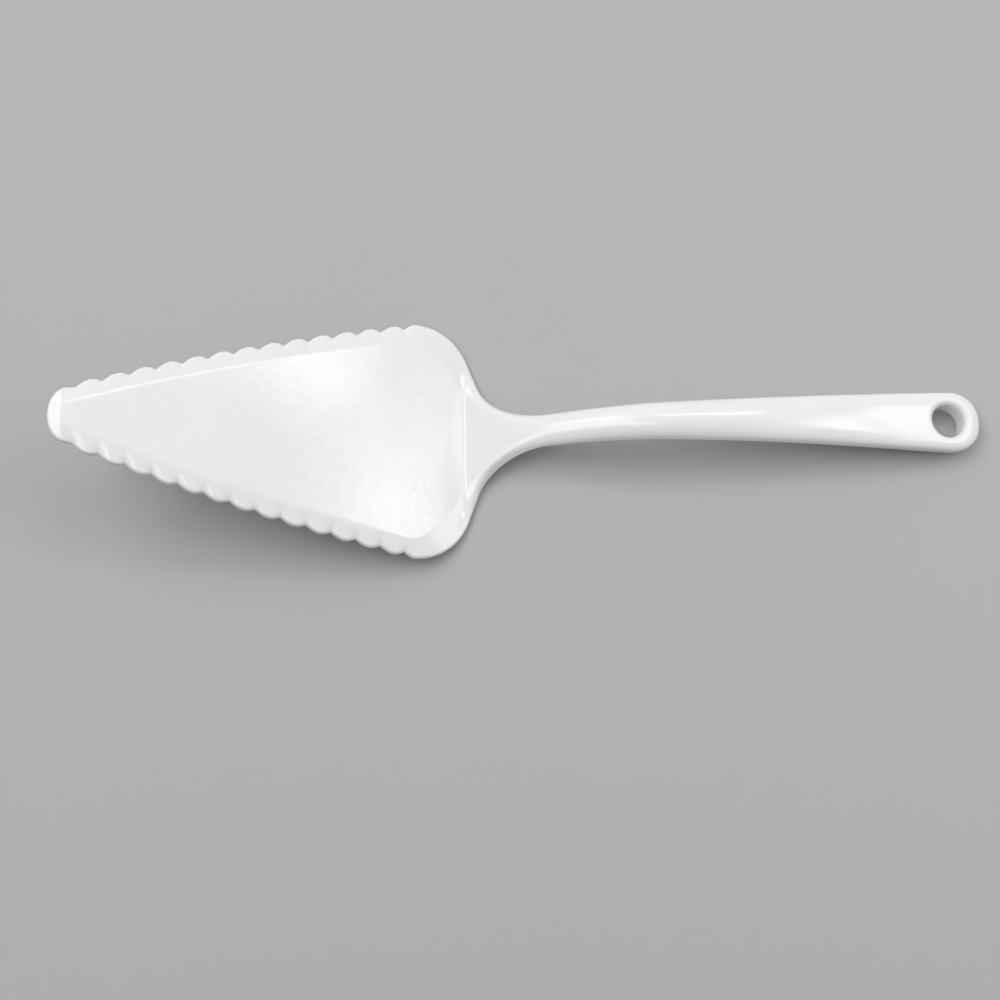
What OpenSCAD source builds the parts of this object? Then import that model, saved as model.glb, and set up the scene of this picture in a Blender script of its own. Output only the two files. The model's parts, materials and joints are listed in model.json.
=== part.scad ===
// Cake server: a one-piece moulding with a flat triangular blade, a bevelled and scalloped
// border, a cranked neck and a handle with a hanging hole. The zones of the moulding meet face to
// face. It is drawn with the blade level, from the tip along u, and then laid down as it rests on
// a table: on the heel of the blade and on the end of the handle, with the tip in the air.

/* [Blade] */
// Length of the blade, from its tip to the crease at the foot of the neck
blade_length = 112; // [80:0.5:150]
// Thickness of the flat part of the blade
blade_thick = 3.2; // [2.4:0.1:5]
// Half width of the rounded tip
tip_half = 7.45; // [5:0.05:12]
// Length of the rounded tip, measured to its widest place
tip_reach = 4.9; // [3:0.1:6]
// Half width of the flat part where it ends behind the tip
tip_flat_half = 3.2; // [2:0.1:4]
// Half width at the widest place, beside the heel
heel_half = 34; // [26:0.5:42]
// Radius of the rounded corners of the heel
heel_radius = 15.8; // [10:0.1:20]
// Distance from the last notch to the widest place
heel_reach = 3.1; // [2:0.1:6]
// Half width of the outline beside the crease
crease_side = 26; // [20:0.5:30]

/* [Scalloped edge] */
// Scallops on each side, between the first notch and the last
scallops = 13; // [7:1:19]
// Distance from the tip to the first notch
first_notch = 6.6; // [5:0.1:10]
// Half width at the first notch
first_notch_half = 7.55; // [5:0.05:12]
// How far inside the widest place the last notch lies
notch_inset = 1.75; // [0.5:0.05:4]
// How far the row of notches bows outwards at mid length
side_bow = 1.65; // [0:0.05:4]
// Depth of a scallop
scallop_depth = 1.35; // [0.4:0.05:2]
// Width of the bevel at a notch
bevel_width = 3.7; // [2:0.1:5]
// Length of the bevel at the tip
tip_bevel = 4; // [2.5:0.1:5]
// How far the bevel falls from the flat part to the edge
bevel_drop = 0.8; // [0.2:0.05:1.2]
// How much lower the edge lies in a notch
flute_depth = 0.7; // [0:0.05:0.9]
// Rounding of the upper edge
edge_round = 0.7; // [0.2:0.05:0.8]
// Rounding of the lower edge
lower_round = 0.4; // [0.1:0.05:0.5]

/* [Neck] */
// Length of the neck along the blade, from the crease to the shoulder of the handle
neck_run = 47; // [42:0.5:60]
// Rise of the top of the neck, from the crease to the shoulder
neck_rise = 34.3; // [22:0.1:44]
// Slope of the top of the neck at the crease, in degrees
ramp_angle = 46; // [36:1:52]
// Slope of the top of the neck at the shoulder, in degrees
shoulder_angle = 18; // [12:1:24]
// Half width of the flat face of the neck at the crease
foot_half = 14; // [8:0.5:18]
// Half width of the flat face where it fades out, at the neck's narrowest place
crest_half = 2; // [1:0.1:3]
// Half width of the neck at its narrowest place
neck_half = 4.5; // [3.5:0.1:7]
// Radius, seen from above, where the heel runs into the neck
neck_fillet = 16.5; // [8:0.1:18]
// Thickness at the shoulder
shoulder_thick = 6.8; // [5:0.1:9]

/* [Handle] */
// Length of the handle along the blade, from the shoulder to the end
handle_run = 86.4; // [70:0.1:120]
// Rise of the top of the handle, from the shoulder to the end
handle_rise = 17.4; // [10:0.1:24]
// Slope of the top of the handle at its end, in degrees
end_angle = 8.5; // [4:0.5:14]
// Half width of the handle beside its rounded end
handle_half = 8.5; // [7:0.05:12]
// Thickness of the handle beside its end
handle_thick = 7.6; // [6:0.1:10]

/* [Hanging hole] */
// Diameter of the hole
hole_d = 9.2; // [5:0.1:10]
// Distance from the middle of the hole to the end of the handle
hole_inset = 9.2; // [8.5:0.1:12]
// Rounding of both rims of the hole
hole_round = 1.5; // [0.4:0.1:2]

/* [Hidden] */
white = "#ECEEEA";

// Slope in plan, in degrees, of the straight flank between the heel's corner and the neck
flank_angle = 71;
// Curve of the crease around the heel's corner
crease_power = 2.2;
// Fullness of the oval section, along the neck and at the end of the handle
neck_oval = 2.1;
end_oval = 3.2;
// How the sides of the neck's flat face draw in
crest_power = 1.8;
// How the grip widens from the waist to its end
grip_power = 1.25;
// Fullness of the handle's rounded end, seen from above and from the side
plan_power = 2.2;
end_power = 3;
// Length over which the neck's thickness turns into the slope
foot_blend = 4;
// How far a cut runs past the surface
overrun = 2;

// Places along the length
neck_end = blade_length + neck_run;
total = neck_end + handle_run;
end_centre = total - handle_half;
hole_at = total - hole_inset;
end_start = total - 2 * hole_inset;
heel_peak = blade_length - sqrt(pow(heel_radius, 2) - pow(crease_side - heel_half + heel_radius, 2));
last_notch = heel_peak - heel_reach;
last_notch_half = heel_half - notch_inset;
pitch = (last_notch - first_notch) / scallops;
flank_drop = heel_half - neck_half - (heel_radius + neck_fillet) * (1 - cos(flank_angle));
flank_start = heel_peak + heel_radius * sin(flank_angle);
flank_end = flank_start + flank_drop / tan(flank_angle);
waist = flank_end + neck_fillet * sin(flank_angle);

// Steps along the length and around the sections
lobe_steps = 6;
tip_steps = 16;
heel_steps = 12;
neck_steps = 26;
handle_steps = 14;
end_steps = 14;
arc_steps = 6;

// Shares of the bevel's width taken by the rounded edges
upper_share = edge_round / bevel_width;
lower_share = lower_round / bevel_width;
// Where the rounding's middle lies, as a share of its radius
round_share = 0.3;
// Height of the neck's side edge above its underside, as a share of its thickness, at the foot
foot_edge_share = 0.3;
// Height of the widest line above the underside, as a share of the thickness, along the handle
belt_share = 0.5;
// Where the section begins to turn oval, as a share of the way from the crease to the waist
turn_share = 0.25;
// How the neck's sections crowd towards the crease
neck_spread = 1.5;
// Where the end's last section lies, as a share of the rounded end
blunt_share = 0.99;
// Places across the flat top, as shares of its half width
flat_shares = [0, 0.5, 0.85, 1];
// Angles around the half section where it is oval, in degrees, from the top to the underside
oval_angles = [90, 66, 50, 40, 30, 21, 13, 6, 0, -8, -25, -52, -90];

function mix(a, b, t) = a + (b - a) * t;
function clamp(t) = min(1, max(0, t));
function ease(t) = clamp(t) * clamp(t) * (3 - 2 * clamp(t));

// Height, and slope, of a curve that runs from h0 to h1 over a run, with a slope at each end
function curve(h0, m0, h1, m1, run, t) =
    h0 * (1 + 2 * t) * (1 - t) * (1 - t) + m0 * run * t * (1 - t) * (1 - t)
    + h1 * t * t * (3 - 2 * t) - m1 * run * t * t * (1 - t);
function curve_slope(h0, m0, h1, m1, run, t) =
    6 * (h1 - h0) / run * t * (1 - t) + m0 * (1 - t) * (1 - 3 * t) + m1 * t * (3 * t - 2);

// Plan of the scalloped sides: place along a scallop, from 0 at one notch to 1 at the next
function scallop_index(u) = min(scallops - 1, floor((u - first_notch) / pitch));
function scallop_place(u) = (u - first_notch) / pitch - scallop_index(u);
function lobe(u) = 4 * scallop_place(u) * (1 - scallop_place(u));
function notch_half_at(i) =
    mix(first_notch_half, last_notch_half, i / scallops)
    + 4 * side_bow * (i / scallops) * (1 - i / scallops);
function notch_line(u) =
    mix(notch_half_at(scallop_index(u)), notch_half_at(scallop_index(u) + 1), scallop_place(u));

// Half width of the outline
function heel_lobe(u) =
    heel_half - (heel_half - last_notch_half) * pow((heel_peak - u) / (heel_peak - last_notch), 2);
function heel_arc(u) = heel_half - heel_radius + sqrt(pow(heel_radius, 2) - pow(u - heel_peak, 2));
function flank(u) =
    heel_half - heel_radius * (1 - cos(flank_angle)) - (u - flank_start) * tan(flank_angle);
function fillet(u) = neck_half + neck_fillet - sqrt(pow(neck_fillet, 2) - pow(waist - u, 2));
function grip(u) = mix(neck_half, handle_half, pow(clamp((u - waist) / (end_centre - waist)), grip_power));
function end_round(u) = handle_half * pow(1 - pow(end_part(u), plan_power), 1 / plan_power);
function half_width(u) =
    u < last_notch ? notch_line(u) + scallop_depth * lobe(u)
    : u < heel_peak ? heel_lobe(u)
    : u < flank_start ? heel_arc(u)
    : u < flank_end ? flank(u)
    : u < waist ? fillet(u)
    : u < end_centre ? grip(u)
    : end_round(u);

// Half width of the flat part of the blade, out to the crease
function crease_half(u) =
    u <= last_notch ? notch_line(u) - bevel_width
    : mix(last_notch_half - bevel_width, foot_half,
          pow((u - last_notch) / (blade_length - last_notch), crease_power));

// Side view: top, thickness and underside of the neck and handle
shoulder_top = blade_thick + neck_rise;
function on_neck(u) = (u - blade_length) / neck_run;
function on_handle(u) = (u - neck_end) / handle_run;
function top(u) =
    u < neck_end
    ? curve(blade_thick, tan(ramp_angle), shoulder_top, tan(shoulder_angle), neck_run, on_neck(u))
    : curve(shoulder_top, tan(shoulder_angle), shoulder_top + handle_rise, tan(end_angle),
            handle_run, on_handle(u));
function top_slope(u) =
    u < neck_end
    ? curve_slope(blade_thick, tan(ramp_angle), shoulder_top, tan(shoulder_angle), neck_run, on_neck(u))
    : curve_slope(shoulder_top, tan(shoulder_angle), shoulder_top + handle_rise, tan(end_angle),
                  handle_run, on_handle(u));
function thick(u) =
    u < neck_end ? mix(blade_thick, shoulder_thick, ease(on_neck(u)))
    : mix(shoulder_thick, handle_thick, on_handle(u));
function lean(u) = mix(1, sqrt(1 + pow(top_slope(u), 2)), ease((u - blade_length) / foot_blend));
function end_part(u) = clamp((u - end_centre) / handle_half);
function end_fall(u) = pow(1 - pow(end_part(u), end_power), 1 / end_power);
function depth(u) = thick(u) * lean(u);
function middle(u) = top(u) - depth(u) / 2;
function upper(u) = middle(u) + depth(u) / 2 * end_fall(u);
function under(u) = middle(u) - depth(u) / 2 * end_fall(u);

// Section of the bevelled border, as [share of the way from the crease to the edge, height].
// low is how far the section lies into a notch, from 0 at a scallop's crown to 1 in the notch.
function border_height(s, low) =
    let (t = s / (1 - upper_share))
    blade_thick - bevel_drop * t - flute_depth * low * t * t;
function border_section(low) =
    let (rim = border_height(1 - upper_share, low))
    [
        for (i = [0 : 2]) let (s = (1 - upper_share) * i / 3) [s, border_height(s, low)],
        [1 - upper_share, rim],
        [1 - upper_share * round_share, rim - edge_round * round_share],
        [1, rim - edge_round],
        [1, lower_round],
        [1 - lower_share, 0],
        [0, 0]
    ];
// Points of one section, between a point of the crease and a point of the outline
function border_ring(inner, outer, low) =
    [for (p = border_section(low)) [mix(inner.x, outer.x, p.x), mix(inner.y, outer.y, p.x), p.y]];

// Half section of the neck where it is flat on top, in the order of the border's section
function flat_half(u) =
    let (w = half_width(u))
    let (n = mix(crest_half, foot_half, pow(1 - to_waist(u), crest_power)))
    let (rim = mix(1 - bevel_drop / blade_thick, foot_edge_share, ease(to_waist(u) / turn_share)))
    let (edge = mix(under(u), upper(u), rim))
    let (r = min(edge_round, (edge - under(u)) / 2))
    let (b = min(lower_round, (edge - under(u)) / 2))
    [
        for (s = flat_shares) [n * s, upper(u)],
        for (i = [1 : 2])
            let (s = i / 3)
            [mix(n, w, s * (1 - upper_share)), mix(upper(u), edge, s)],
        [mix(n, w, 1 - upper_share), edge],
        [mix(n, w, 1 - upper_share * round_share), edge - r * round_share],
        [w, edge - r],
        [w, under(u) + b],
        [mix(n, w, 1 - lower_share), under(u)],
        [n, under(u)],
        [0, under(u)]
    ];
function to_waist(u) = clamp((u - blade_length) / (waist - blade_length));

// Half section where it is oval
function oval_power(u) = mix(neck_oval, end_oval, ease(on_handle(u)));
function oval(v, power) = sign(v) * pow(abs(v), 2 / power);
function oval_half(u) =
    let (belt = mix(under(u), upper(u), belt_share))
    let (power = oval_power(u))
    [
        for (a = oval_angles)
            let (reach = a > 0 ? upper(u) - belt : belt - under(u))
            [half_width(u) * oval(cos(a), power), belt + reach * oval(sin(a), power)]
    ];

// Whole section of the neck and handle: down one side and up the other
function half_section(u) =
    let (k = ease((to_waist(u) - turn_share) / (1 - turn_share)))
    let (a = flat_half(u))
    let (b = oval_half(u))
    [for (i = [0 : len(a) - 1]) mix(a[i], b[i], k)];
function ring(u) =
    let (half = half_section(u))
    let (last = len(half) - 1)
    [
        for (p = half) [u, p.x, p.y],
        for (i = [last - 1 : -1 : 1]) [u, -half[i].x, half[i].y]
    ];

// Stations along the length
neck_places = [for (i = [0 : neck_steps]) blade_length + neck_run * pow(i / neck_steps, neck_spread)];
handle_places = [for (i = [0 : handle_steps]) mix(neck_end, end_start, i / handle_steps)];
blunt_run = handle_half * blunt_share;
round_places = [for (i = [1 : end_steps]) end_centre + blunt_run * sin(90 * i / end_steps)];
end_places = concat([end_start, mix(end_start, end_centre, 1 / 2), end_centre], round_places);

// Rings of the border, from one end of the heel around the tip to the other
side_places = [
    for (i = [0 : scallops * lobe_steps]) first_notch + pitch * i / lobe_steps,
    for (i = [1 : heel_steps]) mix(last_notch, blade_length, i / heel_steps)
];
function notch_low(u) =
    u <= last_notch ? 1 - lobe(u) : pow(clamp((heel_peak - u) / (heel_peak - last_notch)), 2);
function side_ring(u, side) =
    border_ring([u, side * crease_half(u)], [u, side * half_width(u)], notch_low(u));
function tip_ring(a) =
    border_ring([tip_bevel, tip_flat_half * sin(a)], [tip_reach * (1 - cos(a)), tip_half * sin(a)], 0);
border_rings = [
    for (i = [len(side_places) - 1 : -1 : 0]) side_ring(side_places[i], 1),
    for (i = [0 : tip_steps]) tip_ring(90 - 180 * i / tip_steps),
    for (u = side_places) side_ring(u, -1)
];
neck_rings = [for (u = neck_places) ring(u)];
handle_rings = [for (u = handle_places) ring(u)];
end_rings = [for (u = end_places) ring(u)];

// At rest the part leans on the heel, at the crease's place, and on the end of the handle
tilt = min([for (u = end_places) atan2(under(u), u - blade_length)]);
function lay(p) =
    let (along = p.x - blade_length)
    [along * cos(tilt) + p.z * sin(tilt), p.y, p.z * cos(tilt) - along * sin(tilt)];
front = min([for (r = border_rings) for (p = r) lay(p).x]);
back = max([for (r = end_rings) for (p = r) lay(p).x]);
function place(p) = lay(p) - [(front + back) / 2, 0, 0];

// A closed solid through a row of rings that have the same number of points
function centre(ring) = [for (p = ring) 1] * ring / len(ring);
module loft(rings) {
    n = len(rings[0]);
    last = len(rings) - 1;
    sides = [
        for (i = [0 : last - 1])
            for (j = [0 : n - 1])
                let (a = i * n + j)
                let (b = i * n + (j + 1) % n)
                for (f = [[a, b, b + n], [a, b + n, a + n]])
                    f
    ];
    caps = [
        for (j = [0 : n - 1])
            let (k = (j + 1) % n)
            for (f = [[k, j, n * len(rings)], [last * n + j, last * n + k, n * len(rings) + 1]])
                f
    ];
    points = concat([for (r = rings) for (p = r) p], [centre(rings[0]), centre(rings[last])]);
    polyhedron(points = [for (p = points) place(p)], faces = concat(sides, caps), convexity = 8);
}

// Shapes drawn with the blade level are laid down in the same way
module laid() {
    translate(place([0, 0, 0]))
        rotate([0, tilt, 0])
            children();
}

// The flat plate of the blade, out to the crease
plate_places = [
    for (i = [0 : scallops]) first_notch + pitch * i,
    for (i = [1 : heel_steps]) mix(last_notch, blade_length, i / heel_steps)
];
plate_side = concat([[tip_bevel, tip_flat_half]], [for (u = plate_places) [u, crease_half(u)]]);
plate_other = [for (i = [len(plate_side) - 1 : -1 : 0]) [plate_side[i].x, -plate_side[i].y]];
module blade_plate() {
    color(white)
        laid()
            linear_extrude(height = blade_thick)
                polygon(concat(plate_side, plate_other));
}

// The bevelled border with its scallops, around the tip and both sides
module scalloped_edge() {
    color(white)
        loft(border_rings);
}

// The flare of the heel and the cranked neck
module neck() {
    color(white)
        loft(neck_rings);
}

// The grip
module handle() {
    color(white)
        loft(handle_rings);
}

// The hanging hole, square to the top of the handle, with both rims rounded
hole_r = hole_d / 2;
hole_half = thick(hole_at) / 2;
hole_slope = atan(top_slope(hole_at));
module hanging_hole() {
    flare = [
        for (i = [0 : arc_steps])
            let (a = 90 * i / arc_steps)
            [hole_r + hole_round * (1 - cos(a)), hole_half - hole_round * (1 - sin(a))]
    ];
    half = concat(flare, [[hole_r + hole_round, hole_half + overrun]]);
    lower = [for (i = [len(half) - 1 : -1 : 0]) [half[i].x, -half[i].y]];
    outline = concat([[0, -hole_half - overrun]], lower, half, [[0, hole_half + overrun]]);
    translate(place([hole_at, 0, middle(hole_at)]))
        rotate([0, tilt - hole_slope, 0])
            rotate_extrude($fn = 96)
                polygon(outline);
}

// The rounded end of the handle
module hanging_end() {
    color(white)
        difference() {
            loft(end_rings);
            hanging_hole();
        }
}

blade_plate();
scalloped_edge();
neck();
handle();
hanging_end();
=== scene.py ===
import json
import math
from collections import namedtuple

import bmesh
import bpy
import numpy as np
from mathutils import Matrix, Vector


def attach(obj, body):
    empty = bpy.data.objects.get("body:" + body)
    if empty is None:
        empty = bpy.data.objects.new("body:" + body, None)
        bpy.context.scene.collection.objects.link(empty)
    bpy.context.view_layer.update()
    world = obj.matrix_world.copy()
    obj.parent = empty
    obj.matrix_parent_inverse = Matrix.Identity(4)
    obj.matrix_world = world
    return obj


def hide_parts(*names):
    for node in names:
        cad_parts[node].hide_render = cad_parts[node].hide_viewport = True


# A one-piece moulded cake server. Its shape follows the rules below, drawn with the blade level:
# u runs from the tip along the blade, y across it and z up. It is then laid down as it rests on a
# table, on the heel of the blade and on the end of the handle.

bl_info = {
    "name": "Cake Server",
    "version": (1, 0, 0),
    "blender": (4, 5, 0),
    "location": "View3D > Sidebar > Cake Server",
    "description": "Builds a moulded cake server with a scalloped blade, and a studio around it",
    "category": "Object",
}

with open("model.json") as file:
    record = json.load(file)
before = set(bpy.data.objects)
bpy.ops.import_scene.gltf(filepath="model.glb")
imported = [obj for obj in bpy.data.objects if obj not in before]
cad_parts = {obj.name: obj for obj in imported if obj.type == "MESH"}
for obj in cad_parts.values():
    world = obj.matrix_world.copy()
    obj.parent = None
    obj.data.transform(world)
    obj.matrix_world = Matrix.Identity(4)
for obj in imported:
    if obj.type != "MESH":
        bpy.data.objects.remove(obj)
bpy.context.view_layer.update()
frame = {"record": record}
MM = 0.001
QUARTER = math.pi / 2

# Angles, powers and shares that shape the moulding
FLANK_ANGLE = math.radians(71)
CREASE_POWER = 2.2
NECK_OVAL = 1.8
END_OVAL = 3.2
CREST_POWER = 1.8
FLUTE_POWER = 3.0
NOTCH_POWER = 2.0
GRIP_POWER = 1.25
PARTING_SHARE = 0.35
PARTING_POWER = 4
PLAN_POWER = 2.2
END_POWER = 3.0
FOOT_BLEND = 4 * MM
FOOT_EDGE_SHARE = 0.3
TURN_SHARE = 0.25

# Slow waves of the blade's flat: their lengths along and across it, and how near the crease they
# calm down. Each wave has its share of the height, its turns along and across, and its phase
WAVE_LENGTH = 46 * MM
WAVE_WIDTH = 39 * MM
WAVE_CALM = 8 * MM
WAVES = ((0.6, 1.0, 0.35, 0.1), (0.4, -0.6, 1.7, 0.0))

# Noises of the finish: grains in a metre, detail, and scale along X, where less than 1 draws them
# out. Spots also have the level above which they show and how fast they gain their full strength
Noise = namedtuple("Noise", "scale detail along level gain", defaults=(1.0, 0.0, 1.0))
PEEL = Noise(900.0, 4.0)
BLOTCHES = Noise(250.0, 1.0)
CLOUDS = Noise(38.0, 3.0, 1.0, 0.42, 3.0)
WORN = Noise(60.0, 2.0, 1.0, 0.35, 2.5)
PITS = Noise(1300.0, 2.0, 1.0, 0.56, 5.0)
STREAKS = Noise(420.0, 3.0, 0.09, 0.55, 5.0)
# Rubbed patches and grains of the painted scuff glints: light colour for scuffs catching the light
RUBBED_GLINT_PATCHES = Noise(75.0, 3.0, 0.6, 0.42, 4.0)
SCUFF_GLINT_GRAIN = Noise(1400.0, 2.0, 0.4, 0.52, 6.0)
NOISE_ROUGHNESS = 0.55
# Heights of the relief
CLEAN_PEEL = 0.2e-6
USED_PEEL = 22e-6
BLOTCH_HEIGHT = 40e-6
PIT_HEIGHT = 20e-6
SCRATCH_HEIGHT = 2e-6
# Where the wear ends before the neck's crease, and where painted scuff glints begin at the tip, along
# X
WEAR_END = -20.5 * MM
WEAR_FADE = 3 * MM
GLINT_START = -125 * MM
GLINT_FADE = 55 * MM
# Roughness that the streaks and the clouds add, and the plastic's refraction
STREAK_DULLING = 0.12
CLOUD_DULLING = 0.03
PLASTIC_IOR = 1.52
# Each finish: the roughness that it takes, and how worn it is, which also sets its painted scuff
# glints
FINISHES = {"used_white": ("scuff", 1.0), "edge_white": ("gloss", 0.3), "clean_white": ("gloss", 0.0)}
# Sockets of a Mix node that mixes colours
MIX_FACTOR, MIX_UNDER, MIX_OVER, MIX_RESULT = 0, 6, 7, 2

# Steps along the border, the neck and the grip, and how closely the neck's crowd to its crease
TIP_STEPS = 32
GAP_STEPS = 6
LOBE_STEPS = 14
HEEL_STEPS = 30
NECK_STEPS = 84
GRIP_STEPS = 72
NECK_SPREAD = 1.6
# Steps around a section, from its middle over the edge to its underside
FLAT_ROWS = 14
BEVEL_ROWS = 16
EDGE_ROWS = 8
WALL_ROWS = 4
LOWER_ROWS = 3
UNDER_ROWS = 6
# Where each stretch of the border's section begins, and its rows
EDGE_START = BEVEL_ROWS
WALL_START = EDGE_START + EDGE_ROWS
LOWER_START = WALL_START + WALL_ROWS
UNDER_START = LOWER_START + LOWER_ROWS
BORDER_ROWS = UNDER_START + UNDER_ROWS
STRETCHES = ((0, BEVEL_ROWS), (EDGE_START, EDGE_ROWS), (WALL_START, WALL_ROWS),
             (LOWER_START, LOWER_ROWS), (UNDER_START, UNDER_ROWS))
# How closely steps crowd to the crease, to the parting line, to the tip and to the end's outline
BEVEL_CROWD = 1.8
BELT_CROWD = 2.6
GAP_CROWD = 2.0
OUT_CROWD = 3
# Angles of the oval section in degrees: its crown or underside, then down the crown at shares of its
# width, down the shoulder in even steps, and below the parting line down the wall and the tuck
POLE_ANGLE = 90
CROWN_SHARES = (0.5, 0.85, 1.0)
CROWN_ANGLES = (66, 50, 40)
SHOULDER_ANGLES = (40, 30, 21, 13)
WALL_ANGLE = 8
TUCK_ANGLE = 17
# Places tried for the lowest point of the end, and rounds in which its outline and rim are found
END_PLACES = 2000
OUTLINE_ROUNDS = 50
RIM_ROUNDS = 20
# Points closer than this are one point, and edges sharper than this stay sharp
WELD = 1e-6
SHARP = math.radians(38)


# Properties

def size(name, millimetres, description):
    """A length, given in millimetres and kept in metres"""
    return bpy.props.FloatProperty(name=name, description=description,
                                   default=millimetres * MM, min=0.0, unit="LENGTH", precision=5)


def slope(name, degrees, description):
    """An angle, given in degrees and kept in radians"""
    return bpy.props.FloatProperty(name=name, description=description,
                                   default=math.radians(degrees), subtype="ANGLE")


def amount(name, value, description):
    """A plain number"""
    return bpy.props.FloatProperty(name=name, description=description, default=value, min=0.0)


def colour(name, rgb, description):
    """A linear colour"""
    return bpy.props.FloatVectorProperty(name=name, description=description, default=rgb,
                                         subtype="COLOR", size=3, min=0.0, max=1.0)


class BladeSizes(bpy.types.PropertyGroup):
    """Sizes of the flat blade and its outline"""
    blade_length: size("Length", 112, "From the tip to the crease at the foot of the neck")
    blade_thick: size("Thickness", 3.2, "Thickness of the flat part")
    tip_half: size("Tip half width", 7.45, "Half width of the rounded tip")
    tip_reach: size("Tip reach", 4.9, "Length of the rounded tip, to its widest place")
    tip_flat_half: size("Tip flat half width", 3.2, "Half width of the flat part behind the tip")
    heel_half: size("Heel half width", 33.98, "Half width at the widest place")
    heel_radius: size("Heel radius", 15.8, "Radius of the rounded corners of the heel")
    heel_reach: size("Heel reach", 3.1, "From the last notch to the widest place")
    crease_side: size("Crease side", 26, "Half width of the outline beside the neck's crease")
    crease_round: size("Crease rounding", 0.8, "Half width of the rounding along the crease")
    ripple: size("Ripple", 0.015, "Height of the slow waves of the moulded flat")


class BorderSizes(bpy.types.PropertyGroup):
    """Sizes of the bevelled border and its scallops"""
    scallops: bpy.props.IntProperty(name="Scallops", description="Scallops on each side",
                                    default=13, min=3)
    first_notch: size("First notch", 6.6, "From the tip to the first notch")
    first_notch_half: size("First notch half width", 7.55, "Half width at the first notch")
    notch_inset: size("Notch inset", 1.75, "How far inside the widest place the last notch is")
    side_bow: size("Side bow", 1.65, "How far the row of notches bows outwards")
    scallop_depth: size("Scallop depth", 1.35, "Depth of a scallop")
    notch_round: size("Notch rounding", 0.45, "Half width of the rounding in a notch")
    bevel_width: size("Bevel width", 3.7, "Width of the bevel at a notch")
    tip_bevel: size("Tip bevel", 3.4, "Length of the bevel at the tip")
    bevel_drop: size("Bevel drop", 0.87, "How far the bevel falls to the edge")
    flute_depth: size("Flute depth", 0.7, "How much lower the edge lies in a notch")
    edge_round: size("Edge rounding", 0.85, "Rounding of the upper edge")
    lower_round: size("Lower rounding", 0.5, "Rounding of the lower edge")


class NeckSizes(bpy.types.PropertyGroup):
    """Sizes of the cranked neck"""
    neck_run: size("Run", 47, "Along the blade, from the crease to the shoulder")
    neck_rise: size("Rise", 34.3, "Rise of the top, from the crease to the shoulder")
    ramp_angle: slope("Ramp angle", 46, "Slope of the top at the crease")
    shoulder_angle: slope("Shoulder angle", 18, "Slope of the top at the shoulder")
    foot_half: size("Foot half width", 14, "Half width of the flat face at the crease")
    crest_half: size("Crest half width", 2, "Half width of the flat face where it fades out")
    neck_half: size("Half width", 4.5, "Half width at the narrowest place")
    neck_fillet: size("Fillet", 16.5, "Radius, from above, where the heel runs into the neck")
    shoulder_thick: size("Shoulder thickness", 6.8, "Thickness at the shoulder")
    foot_fillet: size("Foot fillet", 1.0, "Half width of the rounding in the crease")
    heel_fillet: size("Heel fillet", 6.0, "The same, beside the crease on the heel")
    rim_run: size("Rim run", 1.8, "How soon behind the crease the rim of the neck gets thin")
    sag: amount("Sag", 0.16, "Slope by which the rim lags behind the ramp at the crease")
    sag_run: size("Sag run", 7.0, "How far along the neck the rim lags behind")


class HandleSizes(bpy.types.PropertyGroup):
    """Sizes of the grip and its end"""
    handle_run: size("Run", 86.13, "Along the blade, from the shoulder to the end")
    handle_rise: size("Rise", 17.3, "Rise of the top, from the shoulder to the end")
    end_angle: slope("End angle", 8.5, "Slope of the top at the end")
    handle_half: size("Half width", 8.5, "Half width beside the rounded end")
    handle_thick: size("Thickness", 7.6, "Thickness beside the end")
    hole_d: size("Hole diameter", 9.2, "Diameter of the hanging hole")
    hole_inset: size("Hole inset", 8.93, "From the middle of the hole to the end")
    hole_round: size("Hole rounding", 1.8, "Rounding of both rims of the hole")
    parting_lip: size("Parting line", 0.1, "Height of the moulding's parting line")
    parting_width: size("Parting line width", 0.16, "Half width of the parting line")


class FinishColours(bpy.types.PropertyGroup):
    """Colours and gloss of the moulding, with the painted glint colour of its scuffs"""
    white: colour("White", (0.835, 0.855, 0.83), "Colour of the moulding")
    haze: colour("Haze", (0.80, 0.825, 0.805), "Colour of its cloudy, worn patches")
    # Partly the scuffs' own lighter tone and partly a painted glint of scuffs catching the light
    fleck: colour("Fleck", (0.91, 0.925, 0.905), "Colour of the scuffs on the used blade")
    gloss: amount("Gloss roughness", 0.1, "Roughness of the handle")
    scuff: amount("Scuffed roughness", 0.1, "Roughness of the used blade")


class StudioLight(bpy.types.PropertyGroup):
    """Floor, lamps and lens"""
    floor: colour("Floor", (0.43, 0.43, 0.43), "Colour of the floor")
    sky: amount("Sky", 0.45, "Brightness of the light all round")
    shade: amount("Shade", 0.45, "Share by which the sky is dimmer in front and brighter behind")
    overhead: amount("Overhead panel", 2.4, "Brightness of the large panel over and past the tip")
    near: amount("Near panel", 2.1, "Brightness of the panel in front of the heel and neck")
    back: amount("Back panel", 2.9, "Brightness of the panel behind the blade")
    side: amount("Side panel", 3.5, "Brightness of the panel behind the handle")
    strip: amount("Strips", 4.1, "Brightness of the strips mirrored along the handle")
    end: amount("End panels", 2.4, "Brightness of the low panels past the end of the handle")
    lens: bpy.props.FloatProperty(name="Lens", description="Focal length, in millimetres",
                                  default=52.2, unit="CAMERA")


GROUPS = {"server_blade": BladeSizes, "server_border": BorderSizes, "server_neck": NeckSizes,
          "server_handle": HandleSizes, "server_finish": FinishColours, "server_studio": StudioLight}
SHAPE_GROUPS = ("server_blade", "server_border", "server_neck", "server_handle")


def shape_sizes():
    """All the sizes of the shape, by name"""
    found = {}
    for key in SHAPE_GROUPS:
        group = getattr(bpy.context.scene, key)
        found.update({name: getattr(group, name) for name in GROUPS[key].__annotations__})
    return found


# Node trees

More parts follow.
